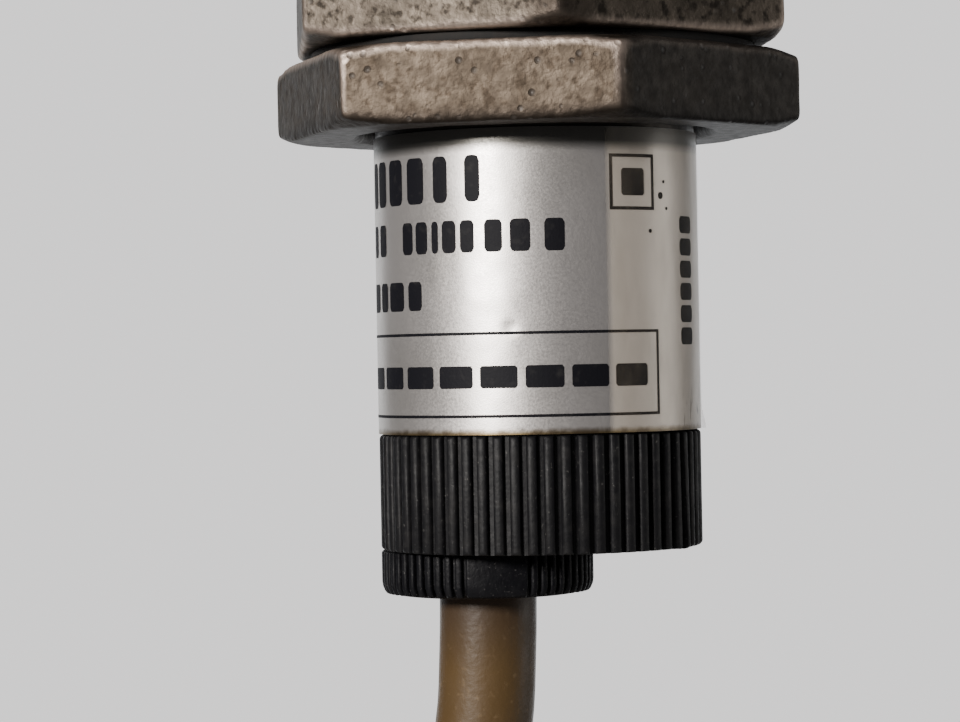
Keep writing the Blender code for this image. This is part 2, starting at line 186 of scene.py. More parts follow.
def round_bar(name, radius, low, high, centre=(0.0, 0.0), sides=96):
    """An upright bar between two heights, with its sizes in mm."""
    bpy.ops.object.select_all(action="DESELECT")
    bpy.ops.mesh.primitive_cylinder_add(
        vertices=sides,
        radius=radius * MM,
        depth=(high - low) * MM,
        end_fill_type="NGON",
        location=(centre[0] * MM, centre[1] * MM, (low + high) / 2 * MM),
    )
    bar = bpy.context.object
    bar.name = name
    bar.data.name = name
    bpy.ops.object.transform_apply(location=True, rotation=True, scale=True)
    return bar


# %% Choose faces or edges by their place


def choose(piece, test):
    """Edit the piece, with those faces selected whose middle, in mm, and normal pass the test."""
    take(piece)
    bpy.ops.object.mode_set(mode="EDIT")
    bpy.ops.mesh.select_mode(type="FACE")
    bpy.ops.mesh.select_all(action="DESELECT")
    bpy.ops.object.mode_set(mode="OBJECT")
    for face in piece.data.polygons:
        face.select = bool(test(face.center / MM, face.normal))
    bpy.ops.object.mode_set(mode="EDIT")


def choose_edges(piece, test):
    """Edit the piece, with those edges selected whose two ends, in mm, pass the test."""
    take(piece)
    bpy.ops.object.mode_set(mode="EDIT")
    bpy.ops.mesh.select_mode(type="EDGE")
    bpy.ops.mesh.select_all(action="DESELECT")
    bpy.ops.object.mode_set(mode="OBJECT")
    points = piece.data.vertices
    for edge in piece.data.edges:
        a, b = (points[index].co / MM for index in edge.vertices)
        edge.select = bool(test(a, b))
    bpy.ops.object.mode_set(mode="EDIT")


def put_down():
    """Leave edit mode."""
    bpy.ops.object.mode_set(mode="OBJECT")


def face_outwards(*edits):
    """In edit mode, run each edit on the whole mesh, turn its faces outwards and leave."""
    bpy.ops.object.mode_set(mode="EDIT")
    for edit, setting in edits:
        bpy.ops.mesh.select_all(action="SELECT")
        edit(**setting)
    bpy.ops.mesh.select_all(action="SELECT")
    bpy.ops.mesh.normals_make_consistent(inside=False)
    put_down()


# %% Cut, round and smooth


def machine(piece, tool, operation="DIFFERENCE"):
    """Cut the piece with a tool, or weld the tool to it, and put the tool away."""
    take(piece)
    step = piece.modifiers.new("machining", "BOOLEAN")
    step.operation = operation
    step.solver = "EXACT"
    step.object = tool
    bpy.ops.object.modifier_apply(modifier=step.name)
    bpy.data.objects.remove(tool)


def break_edges(piece, width, segments=3, angle=35.0):
    """Round every edge that is sharper than the angle."""
    take(piece)
    step = piece.modifiers.new("broken edges", "BEVEL")
    step.width = width * MM
    step.segments = segments
    step.limit_method = "ANGLE"
    step.angle_limit = math.radians(angle)
    bpy.ops.object.modifier_apply(modifier=step.name)


def smooth(piece, angle=40.0):
    take(piece)
    bpy.ops.object.shade_smooth_by_angle(angle=math.radians(angle))


def fit(piece, body, slot_name, surface, *nodes):
    """Give the piece its finish, its moving body and the nodes that it stands for."""
    piece.data.materials.clear()
    piece.data.materials.append(surface)
    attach(piece, body)
    if nodes:
        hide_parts(*nodes)
    piece.data.calc_loop_triangles()
    print(piece.name, len(piece.data.loop_triangles), "triangles")


# %% [markdown]
# ## Finishes
# Each finish is a small tree of nodes on the piece's own coordinates. A cloudy pattern blends in a second colour,
# changes the gloss and raises a fine grain, because nothing here is perfectly clean or even.

# %% Helpers for a finish


def start_finish(name, colour, rough, metal=0.0):
    """A new finish with one colour, roughness and metal share to build on."""
    finish = bpy.data.materials.new(name)
    finish.use_nodes = True
    shader = finish.node_tree.nodes["Principled BSDF"]
    shader.inputs["Base Color"].default_value = (*colour, 1.0)
    shader.inputs["Roughness"].default_value = rough
    shader.inputs["Metallic"].default_value = metal
    return finish


def shader_of(finish):
    return finish.node_tree.nodes["Principled BSDF"]


def dull(finish, reflection):
    """Set how much the finish reflects like a clear surface."""
    shader_of(finish).inputs["Specular IOR Level"].default_value = reflection


def place_on(finish):
    """The place on the piece, from one shared node."""
    nodes = finish.node_tree.nodes
    place = nodes.get("place")
    if place is None:
        place = nodes.new("ShaderNodeTexCoord")
        place.name = "place"
    return place.outputs["Object"]


def levels(finish, value, low, high, out_low=0.0, out_high=1.0):
    """Stretch a pattern between two levels."""
    tree = finish.node_tree
    node = tree.nodes.new("ShaderNodeMapRange")
    tree.links.new(value, node.inputs["Value"])
    node.inputs["From Min"].default_value = low
    node.inputs["From Max"].default_value = high
    node.inputs["To Min"].default_value = out_low
    node.inputs["To Max"].default_value = out_high
    return node.outputs["Result"]


# %% Patterns


def cloud(finish, size, low, high, detail=5.0, stretch=(1.0, 1.0, 1.0)):
    """A cloudy pattern with grains of a size in mm."""
    tree = finish.node_tree
    mapping = tree.nodes.new("ShaderNodeMapping")
    mapping.inputs["Scale"].default_value = stretch
    tree.links.new(place_on(finish), mapping.inputs["Vector"])
    noise = tree.nodes.new("ShaderNodeTexNoise")
    noise.inputs["Scale"].default_value = 1000.0 / size
    noise.inputs["Detail"].default_value = detail
    tree.links.new(mapping.outputs["Vector"], noise.inputs["Vector"])
    return levels(finish, noise.outputs["Fac"], low, high)


def spots(finish, size, low, high):
    """Round spots about a size in mm apart: 1 in their middle and 0 between them."""
    tree = finish.node_tree
    cells = tree.nodes.new("ShaderNodeTexVoronoi")
    cells.inputs["Scale"].default_value = 1000.0 / size
    tree.links.new(place_on(finish), cells.inputs["Vector"])
    return levels(finish, cells.outputs["Distance"], high, low)


def along(finish, axis, low, high):
    """A ramp from 0 to 1 between two places in mm along one axis."""
    tree = finish.node_tree
    split = tree.nodes.new("ShaderNodeSeparateXYZ")
    tree.links.new(place_on(finish), split.inputs["Vector"])
    return levels(finish, split.outputs[axis], low * MM, high * MM)


def times(finish, first, second):
    """One pattern times another pattern or a number."""
    tree = finish.node_tree
    node = tree.nodes.new("ShaderNodeMath")
    node.operation = "MULTIPLY"
    tree.links.new(first, node.inputs[0])
    if isinstance(second, float):
        node.inputs[1].default_value = second
    else:
        tree.links.new(second, node.inputs[1])
    return node.outputs["Value"]


# %% What a pattern does to the surface


def tint(finish, pattern, colour):
    """Blend another colour over the present one where the pattern is high."""
    tree = finish.node_tree
    socket = shader_of(finish).inputs["Base Color"]
    mix = tree.nodes.new("ShaderNodeMix")
    mix.data_type = "RGBA"
    if socket.links:
        tree.links.new(socket.links[0].from_socket, mix.inputs[6])
    else:
        mix.inputs[6].default_value = socket.default_value[:]
    mix.inputs[7].default_value = (*colour, 1.0)
    tree.links.new(pattern, mix.inputs[0])
    tree.links.new(mix.outputs[2], socket)


def vary(finish, name, pattern, value):
    """Move a value such as the roughness towards another one where the pattern is high."""
    tree = finish.node_tree
    socket = shader_of(finish).inputs[name]
    mix = tree.nodes.new("ShaderNodeMix")
    mix.data_type = "FLOAT"
    if socket.links:
        tree.links.new(socket.links[0].from_socket, mix.inputs[2])
    else:
        mix.inputs[2].default_value = socket.default_value
    mix.inputs[3].default_value = value
    tree.links.new(pattern, mix.inputs[0])
    tree.links.new(mix.outputs[0], socket)


def emboss(finish, pattern, depth):
    """Raise the surface by a depth in mm where the pattern is high."""
    tree = finish.node_tree
    socket = shader_of(finish).inputs["Normal"]
    bump = tree.nodes.new("ShaderNodeBump")
    bump.inputs["Distance"].default_value = depth * MM
    bump.inputs["Strength"].default_value = 1.0
    tree.links.new(pattern, bump.inputs["Height"])
    if socket.links:
        tree.links.new(socket.links[0].from_socket, bump.inputs["Normal"])
    tree.links.new(bump.outputs["Normal"], socket)


# %% [markdown]
# ### Worn nickel
# The nuts are nickel-plated brass that has lived outdoors: grey and a little warm, with dark pits, brown dirt in the
# hollows and bright rubbed edges. Mesh pointiness finds those edges, so it needs a finely divided mesh.

# %% Nickel with pits and brown patches
worn_nickel = start_finish("worn_nickel", (0.098, 0.082, 0.066), 0.50, 1.0)
tint(worn_nickel, cloud(worn_nickel, 3.0, 0.44, 0.62), (0.055, 0.047, 0.038))
tint(worn_nickel, cloud(worn_nickel, 0.55, 0.50, 0.64), (0.026, 0.022, 0.018))
pits = spots(worn_nickel, 0.75, 0.06, 0.26)
pitting = times(worn_nickel, pits, cloud(worn_nickel, 1.6, 0.46, 0.56))
tint(worn_nickel, pitting, (0.03, 0.026, 0.022))

# %% Grime on the rear nut and on the front nut's near corner
on_rear_nut = along(worn_nickel, "Z", 0.15, -0.1)
on_front_nut = along(worn_nickel, "Z", -0.1, 0.15)
tint(worn_nickel, times(worn_nickel, on_rear_nut, 0.55), (0.050, 0.037, 0.026))
left_of_corner = along(worn_nickel, "X", -0.9, 0.5)
right_of_corner = along(worn_nickel, "X", 3.4, 1.4)
near_corner = times(worn_nickel, left_of_corner, right_of_corner)
near_corner = times(worn_nickel, near_corner, on_front_nut)
tint(worn_nickel, times(worn_nickel, near_corner, 0.7), (0.028, 0.022, 0.018))

# %% Rubbed edges, brightest at the rear nut's top
geometry = worn_nickel.node_tree.nodes.new("ShaderNodeNewGeometry")
rubbed = levels(worn_nickel, geometry.outputs["Pointiness"], 0.505, 0.54)
rubbed = times(worn_nickel, rubbed, along(worn_nickel, "Z", -4.0, -1.6))
rubbed = times(worn_nickel, rubbed, levels(worn_nickel, near_corner, 0.0, 0.6, 1.0, 0.15))
rubbed = times(worn_nickel, rubbed, levels(worn_nickel, on_rear_nut, 0.0, 1.0, 0.5, 0.95))
tint(worn_nickel, rubbed, (0.56, 0.46, 0.39))
rear_foot = along(worn_nickel, "Z", -3.3, -3.9)
tint(worn_nickel, times(worn_nickel, rear_foot, 0.75), (0.022, 0.018, 0.015))

# %% Gloss, the right face, stained and darkened as painted shade, and the relief
vary(worn_nickel, "Roughness", cloud(worn_nickel, 0.6, 0.35, 0.7), 0.62)
vary(worn_nickel, "Metallic", pitting, 0.2)
# The rear nut's right face is darkened, partly a stain and partly painted shade.
stain_and_painted_shade = times(worn_nickel, along(worn_nickel, "X", 3.7, 4.6), on_rear_nut)
tint(worn_nickel, times(worn_nickel, stain_and_painted_shade, 0.85), (0.016, 0.0155, 0.015))
emboss(worn_nickel, cloud(worn_nickel, 0.35, 0.3, 0.7, 8.0), 0.02)
emboss(worn_nickel, levels(worn_nickel, pitting, 0.0, 1.0, 1.0, 0.0), 0.05)
print(worn_nickel.name, len(worn_nickel.node_tree.nodes), "nodes")

# %% Cleaner nickel for the barrel
barrel_nickel = start_finish("barrel_nickel", (0.50, 0.46, 0.41), 0.30, 1.0)
tint(barrel_nickel, cloud(barrel_nickel, 2.2, 0.48, 0.7), (0.30, 0.26, 0.22))
vary(barrel_nickel, "Roughness", cloud(barrel_nickel, 0.8, 0.35, 0.7), 0.5)
# Painted shade: the barrel is darkened below the thread's start, standing in for the shade in the bore under the rear
# nut.
neck_painted_shade = along(barrel_nickel, "Z", -2.8, -3.2)
tint(barrel_nickel, neck_painted_shade, (0.02, 0.018, 0.016))
emboss(barrel_nickel, cloud(barrel_nickel, 0.3, 0.3, 0.7, stretch=(1.0, 1.0, 3.0)), 0.008)

# %% Dark spring steel, nearly black as painted shade for the gap between the nuts
# Painted shade: the steel is made nearly black, darker than steel, so that the washer between the nuts reads as the
# shadowed gap.
dark_steel_painted_shade = start_finish("dark_steel_painted_shade", (0.004, 0.0037, 0.0035), 0.75, 0.4)
tint(dark_steel_painted_shade, cloud(dark_steel_painted_shade, 1.2, 0.45, 0.7), (0.010, 0.007, 0.005))
emboss(dark_steel_painted_shade, cloud(dark_steel_painted_shade, 0.4, 0.3, 0.7), 0.01)

# %% [markdown]
# ### Foil label and its ink
# The label is matt silver foil with a very fine sparkle. It has yellowed on the right, where the tape covers it. Old
# glue darkens its lower edge, and a painted shadow and reflection of the nut, partly dirt, darkens its upper edge. It
# is printed in black.

# %% Silver foil
silver_foil = start_finish("silver_foil", (0.56, 0.535, 0.515), 0.31, 0.86)
tint(silver_foil, cloud(silver_foil, 5.0, 0.45, 0.75), (0.47, 0.45, 0.425))
dull_side = along(silver_foil, "X", 3.3, 3.6)
tint(silver_foil, dull_side, (0.50, 0.455, 0.40))
vary(silver_foil, "Metallic", dull_side, 0.35)

# %% Glue, painted shade in the creases and a painted shadow at the upper edge
tint(silver_foil, along(silver_foil, "Z", -19.05, -19.3), (0.16, 0.12, 0.06))
lower_edge = along(silver_foil, "Z", -18.97, -19.3)
glue = times(silver_foil, lower_edge, cloud(silver_foil, 0.6, 0.40, 0.56))
tint(silver_foil, times(silver_foil, glue, 0.85), (0.10, 0.073, 0.042))
right_side = along(silver_foil, "X", 6.9, 7.6)
lower_right = times(silver_foil, right_side, along(silver_foil, "Z", -17.0, -18.8))
# Painted shade: thin dark upright lines in the lower right stand in for the shade in the foil's creases.
crease_painted_shade = cloud(silver_foil, 0.5, 0.575, 0.60, 3.0, (2.2, 2.2, 0.45))
tint(silver_foil, times(silver_foil, crease_painted_shade, lower_right), (0.07, 0.055, 0.04))
# Painted shadow: the top of the label is darkened under the nut, standing in for the nut's shadow and reflection,
# partly dirt.
tint(silver_foil, along(silver_foil, "Z", -5.45, -4.95), (0.10, 0.097, 0.088))

# %% Sparkle of the foil
vary(silver_foil, "Roughness", cloud(silver_foil, 0.12, 0.3, 0.7), 0.42)
emboss(silver_foil, cloud(silver_foil, 0.07, 0.3, 0.7, 2.0), 0.0012)
emboss(silver_foil, cloud(silver_foil, 4.0, 0.3, 0.7, 2.0), 0.03)

# %% Black ink
ink = start_finish("black_ink", (0.004, 0.004, 0.006), 0.6)
dull(ink, 0.12)
tint(ink, cloud(ink, 0.5, 0.55, 0.8), (0.014, 0.0135, 0.014))
emboss(ink, cloud(ink, 0.15, 0.3, 0.7), 0.004)

# %% Yellowed clear tape
tape = start_finish("yellowed_tape", (0.20, 0.165, 0.115), 0.45)
dull(tape, 0.3)
smears = cloud(tape, 1.0, 0.40, 0.72, 4.0, (1.0, 1.0, 0.35))
tint(tape, smears, (0.26, 0.225, 0.17))
shader_of(tape).inputs["Alpha"].default_value = 0.035
vary(tape, "Alpha", smears, 0.09)
emboss(tape, cloud(tape, 1.5, 0.3, 0.7, 3.0), 0.02)

# %% [markdown]
# ### Black mouldings
# The cap and gland are black glass-filled plastic, dull with age. The rib tips are rubbed grey and dust sits in the
# grooves.

# %% Black plastic
black_plastic = start_finish("black_plastic", (0.0036, 0.0036, 0.0044), 0.52)
dull(black_plastic, 0.19)
tint(black_plastic, cloud(black_plastic, 0.7, 0.5, 0.8), (0.0115, 0.011, 0.011))
tint(black_plastic, cloud(black_plastic, 0.16, 0.66, 0.78, 3.0), (0.06, 0.058, 0.054))
vary(black_plastic, "Roughness", cloud(black_plastic, 0.5, 0.4, 0.7), 0.62)
emboss(black_plastic, cloud(black_plastic, 0.25, 0.3, 0.7), 0.012)

# %% Darker plastic of the gland nut
gland_plastic = start_finish("gland_plastic", (0.0035, 0.0035, 0.0045), 0.46)
dull(gland_plastic, 0.10)
tint(gland_plastic, cloud(gland_plastic, 0.6, 0.5, 0.8), (0.007, 0.007, 0.008))
tint(gland_plastic, cloud(gland_plastic, 0.14, 0.64, 0.76, 3.0), (0.05, 0.048, 0.046))
vary(gland_plastic, "Roughness", cloud(gland_plastic, 0.5, 0.4, 0.7), 0.6)
emboss(gland_plastic, cloud(gland_plastic, 0.22, 0.3, 0.7), 0.014)

# %% Olive-brown jacket
olive_jacket = start_finish("olive_jacket", (0.068, 0.0415, 0.0165), 0.44)
dull(olive_jacket, 0.25)
faded = cloud(olive_jacket, 4.0, 0.42, 0.7, 4.0, (1.0, 1.0, 0.5))
tint(olive_jacket, faded, (0.058, 0.035, 0.0135))
tint(olive_jacket, cloud(olive_jacket, 0.5, 0.6, 0.8), (0.12, 0.08, 0.04))
vary(olive_jacket, "Roughness", cloud(olive_jacket, 1.2, 0.4, 0.7), 0.52)
emboss(olive_jacket, cloud(olive_jacket, 0.35, 0.3, 0.7), 0.010)
# Painted shade: the cable is darkened for a few mm below the gland nut, where the nut shades it.
painted_shade_under_gland = along(olive_jacket, "Z", -31.5, -28.0)
tint(olive_jacket, times(olive_jacket, painted_shade_under_gland, 0.85), (0.027, 0.017, 0.011))
jacket.data.materials.clear()
jacket.data.materials.append(olive_jacket)

# %% [markdown]
# ## Lock nuts
# Each nut is a hexagon 24 mm across its flats, turned from bar, with its corners taken off by a cone.
# A six-sided bar is cut to that cone and bored. It is then rebuilt as fine even faces, which lets the edges wear round
# and the flats get their uneven, hammered skin.

# %% Hexagon with turned corners
NUT_FLATS = 24.0
NUT_THICK = 4.0
NUT_BORE_R = 9.1
CHAMFER = 0.7
CHAMFER_REACH = 2.0
BLANK_R = 14.6


def hexagon(name, low, turn):
    """A hexagon bar slice with a corner at an angle from the front, chamfered and bored."""
    high = low + NUT_THICK
    bar = round_bar(name, NUT_FLATS / 2 / math.cos(math.pi / 6), low, high, sides=6)
    take(bar)
    bar.rotation_euler = (0.0, 0.0, math.radians(turn))
    bpy.ops.object.transform_apply(location=True, rotation=True, scale=True)
    blank = round_bar("blank", BLANK_R, low + CHAMFER, high - CHAMFER, sides=180)
    choose(blank, lambda middle, normal: abs(normal.z) > 0.9)
    bpy.ops.mesh.inset(thickness=CHAMFER_REACH * MM, depth=CHAMFER * MM)
    put_down()
    machine(bar, blank, "INTERSECT")
    bore = round_bar("bore", NUT_BORE_R, low - 1, high + 1, sides=120)
    machine(bar, bore)

    def on_bore_rim(a, b):
        radii = (a.xy.length, b.xy.length)
        return abs(a.z - b.z) < 0.01 and all(abs(radius - NUT_BORE_R) < 0.1 for radius in radii)

    choose_edges(bar, on_bore_rim)
    bpy.ops.mesh.bevel(offset=0.3 * MM, segments=1, affect="EDGES")
    put_down()
    return bar


# %% Wear the nut
FACE_SIZE = 0.19


def wear(nut):
    """Rebuild the nut from small even faces, then round and dent it slightly."""
    take(nut)
    rebuild = nut.modifiers.new("even faces", "REMESH")
    rebuild.mode = "VOXEL"
    rebuild.voxel_size = FACE_SIZE * MM
    bpy.ops.object.modifier_apply(modifier=rebuild.name)
    soften = nut.modifiers.new("rubbed edges", "SMOOTH")
    soften.factor = 0.5
    soften.iterations = 8
    bpy.ops.object.modifier_apply(modifier=soften.name)
    skin = bpy.data.textures.new("hammered skin", "CLOUDS")
    skin.noise_scale = 1.7 * MM
    skin.noise_depth = 3
    dents = nut.modifiers.new("uneven skin", "DISPLACE")
    dents.texture = skin
    dents.texture_coords = "LOCAL"
    dents.strength = 0.05 * MM
    dents.mid_level = 0.5
    bpy.ops.object.modifier_apply(modifier=dents.name)
    bpy.ops.object.shade_smooth()


for nut_name, nut_low, corner_turn in (("rear_lock_nut", -4.2, 16.6), ("front_lock_nut", 0.23, 4.3)):
    nut = hexagon(f"{nut_name}_worn", nut_low, corner_turn)
    wear(nut)
    fit(nut, nut_name.replace("_lock", ""), "nickel_plated_brass", worn_nickel, nut_name)

# %% [markdown]
# ## Lock washers
# A thin toothed washer sits in front of each nut and bites into its face. It starts as a flat ring, and its teeth are
# pulled inwards out of the ring's inner rim, four columns of every eight.

# %% Toothed washers
WASHER_COLUMNS = 128
TOOTH_COLUMNS = 8
WASHER_HOLE_R = 10.2
WASHER_THICK = 0.4


def on_tooth(middle, normal):
    column = int((math.atan2(middle.y, middle.x) + math.pi) / math.tau * WASHER_COLUMNS)
    inner_rim = middle.xy.length < WASHER_HOLE_R + 0.2 and abs(normal.z) < 0.5
    return inner_rim and column % TOOTH_COLUMNS < TOOTH_COLUMNS / 2


for washer_name, low in (("rear_lock_washer", -0.19), ("front_lock_washer", 4.25)):
    high = low + WASHER_THICK
    washer = round_bar(f"{washer_name}_toothed", 11.4, low, high, sides=WASHER_COLUMNS)
    machine(washer, round_bar("hole", WASHER_HOLE_R, low - 1, high + 1, sides=WASHER_COLUMNS))
    choose(washer, on_tooth)
    bpy.ops.mesh.extrude_region_shrink_fatten(TRANSFORM_OT_shrink_fatten={"value": 0.95 * MM})
    put_down()
    break_edges(washer, 0.05, 2, 50)
    smooth(washer)
    fit(washer, washer_name.replace("_lock", ""), "dark_spring_steel", dark_steel_painted_shade, washer_name)

# %% [markdown]
# ## Barrel
# The barrel is a tube with a real M18 x 1 thread and a plain neck behind it. The thread is one helical ridge, swept by
# the Screw modifier from a small flat-topped profile, on a core at the thread's root.

# %% Core tube
FACE_Z = 52.35
THREAD_START = -3.4
THREAD_ROOT_R = 8.42
NECK_R = 8.2
core = round_bar("threaded_barrel", THREAD_ROOT_R, THREAD_START, FACE_Z, sides=144)
machine(core, round_bar("neck", NECK_R, -19.38, THREAD_START + 0.1, sides=144), "UNION")
machine(core, round_bar("bore", 7.2, -20.0, FACE_Z + 1, sides=96))
machine(core, round_bar("face_seat", 8.05, FACE_Z - 1.05, FACE_Z + 1, sides=96))
break_edges(core, 0.1, 2, 50)

# %% Ridge profile
PITCH = 1.0
RIDGE_R = 8.6
profile = ((8.36, -0.46), (8.97, -0.09), (8.36, 0.46), (8.97, 0.09))
bpy.ops.object.select_all(action="DESELECT")
bpy.ops.mesh.primitive_plane_add(size=1.0 * MM, location=(RIDGE_R * MM, 0.0, (THREAD_START + 0.5) * MM))
ridge = bpy.context.object
for vertex, (radius, height) in zip(ridge.data.vertices, profile):
    vertex.co = ((radius - RIDGE_R) * MM, 0.0, height * MM)
bpy.ops.object.transform_apply(location=True, rotation=True, scale=True)
bpy.ops.object.mode_set(mode="EDIT")
bpy.ops.mesh.select_all(action="SELECT")
bpy.ops.mesh.delete(type="ONLY_FACE")
put_down()

# %% Sweep the ridge along its helix
sweep = ridge.modifiers.new("thread", "SCREW")
sweep.screw_offset = PITCH * MM
sweep.iterations = 54
sweep.steps = 60
sweep.render_steps = 60
sweep.use_merge_vertices = False
bpy.ops.object.modifier_apply(modifier=sweep.name)
face_outwards((bpy.ops.mesh.fill_holes, {"sides": 0}))
print("ridge", len(ridge.data.polygons), "faces")

# %% Join the thread to the core
bpy.ops.object.select_all(action="DESELECT")
ridge.select_set(True)
core.select_set(True)
bpy.context.view_layer.objects.active = core
bpy.ops.object.join()
smooth(core, 25)
fit(core, "sensor", "nickel_plated_brass", barrel_nickel, "barrel")

# %% [markdown]
# ## Sensing face
# The front is a plastic disc held in the barrel's seat. Its shallow ring groove and rounded rim come from an inset and
# an extrusion of the front face.

# %% Sensing cap
sensing = round_bar("sensing_face", 8.0, FACE_Z - 1.0, FACE_Z, sides=128)
choose(sensing, lambda middle, normal: normal.z > 0.9)
bpy.ops.mesh.inset(thickness=0.9 * MM)
bpy.ops.mesh.inset(thickness=0.5 * MM)
put_down()
choose(sensing, lambda middle, normal: normal.z > 0.9 and 6.6 < middle.xy.length < 7.2)
bpy.ops.mesh.extrude_region_shrink_fatten(TRANSFORM_OT_shrink_fatten={"value": -0.15 * MM})
put_down()
machine(sensing, round_bar("skirt", 7.1, 37.5, FACE_Z - 0.9, sides=128), "UNION")
machine(sensing, round_bar("skirt_bore", 6.55, 37.0, FACE_Z - 1.02, sides=128))
break_edges(sensing, 0.08, 2, 50)
smooth(sensing)
fit(sensing, "sensor", "black_plastic", black_plastic, "sensing_cap")

# %% [markdown]
# ## End cap
# The cap is a round moulding with 60 upright ribs for the fingers. The ribs are drawn out of the side of a round bar:
# two columns of every three are selected and extruded, and the border of each rib is rounded. One lower corner
# bulges where it was knocked. The bar is then bored for the gland, the cable and the light rod.

# %% Draw out ribs
RIBS = 60
RIB_SHARE = 0.66


def rib_sector(x, y):
    """Where a direction lies within its rib and groove, from 0 to 1."""
    return (math.atan2(y, x) / math.tau + 1.0) * RIBS % 1.0


def draw_ribs(piece, centre_x, height, rounding, low, high, on_panel):
    """Raise the ribs, and any smooth panel between them, and round their borders."""

    def raised(middle, normal):
        outer_side = low < middle.z < high and abs(normal.z) < 0.75
        outer_side = outer_side and (middle.xy - Vector((centre_x, 0))).length > 4.5
        return outer_side and (rib_sector(middle.x - centre_x, middle.y) < RIB_SHARE or on_panel(middle))

    choose(piece, raised)
    bpy.ops.mesh.extrude_region_shrink_fatten(TRANSFORM_OT_shrink_fatten={"value": height * MM})
    bpy.ops.mesh.region_to_loop()
    bpy.ops.mesh.bevel(offset=rounding * MM, segments=4, affect="EDGES", clamp_overlap=True)
    put_down()


CAP_LOW = -25.3
CAP_TOP = -19.4
cap = round_bar("ribbed_end_cap", 7.92, CAP_LOW, CAP_TOP, sides=180)
draw_ribs(cap, 0.0, 0.35, 0.22, -26, -19, lambda middle: False)
print("cap faces", len(cap.data.polygons))

# %% Bulge at the cap's damaged corner
RIB_TOP_R = 8.2
knock_angle = math.radians(60)
knock = Vector((RIB_TOP_R * math.sin(knock_angle), -RIB_TOP_R * math.cos(knock_angle), CAP_LOW + 0.1))
for vertex in cap.data.vertices:
    place = vertex.co / MM
    if place.xy.length > 5:
        near = math.exp(-(((place - knock).length / 0.55) ** 2))
        outwards = Vector((place.x / RIB_TOP_R, place.y / RIB_TOP_R, -0.3))
        vertex.co += outwards * near * 0.14 * MM

# %% Bore the cap
LENS_X = 5.0
machine(cap, round_bar("spigot", 7.1, -20.4, -15.4, sides=128), "UNION")
machine(cap, round_bar("hollow", 5.9, -17.0, -14.4, sides=96))
machine(cap, round_bar("gland_thread", 4.08, CAP_LOW - 1.0, CAP_TOP, (GLAND_X, 0.0), 64))
machine(cap, round_bar("cable_hole", 2.75, -20.4, -16.0, (GLAND_X, 0.0), 48))
machine(cap, round_bar("lens_hole", 1.25, CAP_LOW - 1.0, -14.4, (LENS_X, 0.0), 48))
smooth(cap, 50)
fit(cap, "sensor", "black_plastic", black_plastic, "end_cap")

# %% [markdown]
# ## Gland nut
# The gland nut squeezes a rubber ring round the cable. Its rear edge is well rounded, its fine ribs fade out on that
# rounding, and two smooth panels interrupt them.

# %% Gland nut
gland = round_bar("ribbed_gland_nut", 5.17, TAIL_Z, -25.35, (GLAND_X, 0.0), 180)
choose_edges(gland, lambda a, b: abs(a.z - TAIL_Z) < 0.01 and abs(b.z - TAIL_Z) < 0.01)
bpy.ops.mesh.bevel(offset=0.75 * MM, segments=6, affect="EDGES")
put_down()


def on_gland_panel(middle):
    """Whether a place is on one of the two smooth panels, at the front and at the back."""
    angle = math.atan2(middle.y, middle.x - GLAND_X) + math.pi / 2 - math.radians(5)
    return abs(math.remainder(angle, math.pi)) < math.radians(17)


draw_ribs(gland, GLAND_X, 0.28, 0.13, TAIL_Z, -25.0, on_gland_panel)
machine(gland, round_bar("gland_spigot", 3.98, -26.0, -22.15, (GLAND_X, 0.0), 64), "UNION")
machine(gland, round_bar("gland_bore", 2.75, -28.6, -21.0, (GLAND_X, 0.0), 64))
smooth(gland, 50)
fit(gland, "gland_nut", "black_plastic", gland_plastic, "gland_nut")

# %% [markdown]
# ## Label
# The label is cut flat, printed, and then wrapped round the neck. It is modelled in the same order: a fine grid, its
# print as thin raised blocks, and one helper that rolls either of them onto the barrel.
# The print is plain blocks, so that it carries no words.

# %% Roll a flat piece round the barrel
LABEL_R = 8.3
LABEL_LOW = -19.35
LABEL_HIGH = -4.25


def roll_up(piece, radius):
    """Roll the piece: x is mm along the arc from the front, z is up, and y stands off inwards."""
    for vertex in piece.data.vertices:
        arc, off, up = vertex.co / MM
        angle = arc / LABEL_R
        reach = radius - off
        vertex.co = Vector((reach * math.sin(angle), -reach * math.cos(angle), up)) * MM


def flat_sheet(name, left, right, low, high, columns, rows):
    """An upright grid that faces the front, with its sides given in mm."""
    bpy.ops.object.select_all(action="DESELECT")
    bpy.ops.mesh.primitive_grid_add(x_subdivisions=columns, y_subdivisions=rows, size=1.0)
    sheet = bpy.context.object
    sheet.name = name
    sheet.data.name = name
    sheet.scale = ((right - left) * MM, (high - low) * MM, 1.0)
    sheet.rotation_euler = (math.radians(90), 0.0, 0.0)
    sheet.location = ((left + right) / 2 * MM, 0.0, (low + high) / 2 * MM)
    bpy.ops.object.transform_apply(location=True, rotation=True, scale=True)
    return sheet


def thicken(piece, thickness, offset):
    """Give a sheet a thickness in mm, inwards for an offset of -1 and outwards for 1."""
    take(piece)
    wall = piece.modifiers.new("thickness", "SOLIDIFY")
    wall.thickness = thickness * MM
    wall.offset = offset
    bpy.ops.object.modifier_apply(modifier=wall.name)


# %% Foil
half_turn = math.pi * LABEL_R - 0.05
foil = flat_sheet("foil_label", -half_turn, half_turn, LABEL_LOW, LABEL_HIGH, 300, 60)
for vertex in foil.data.vertices:
    arc, _, up = vertex.co / MM
    dent = math.exp(-(((arc + 1.5) / 0.35) ** 2) - ((up + 14.1) / 0.22) ** 2)
    vertex.co.y += 0.05 * dent * MM
roll_up(foil, LABEL_R)
thicken(foil, 0.08, -1.0)
smooth(foil, 60)
fit(foil, "sensor", "silver_foil", silver_foil, "rating_label")

# %% One printed block
block_parts = []


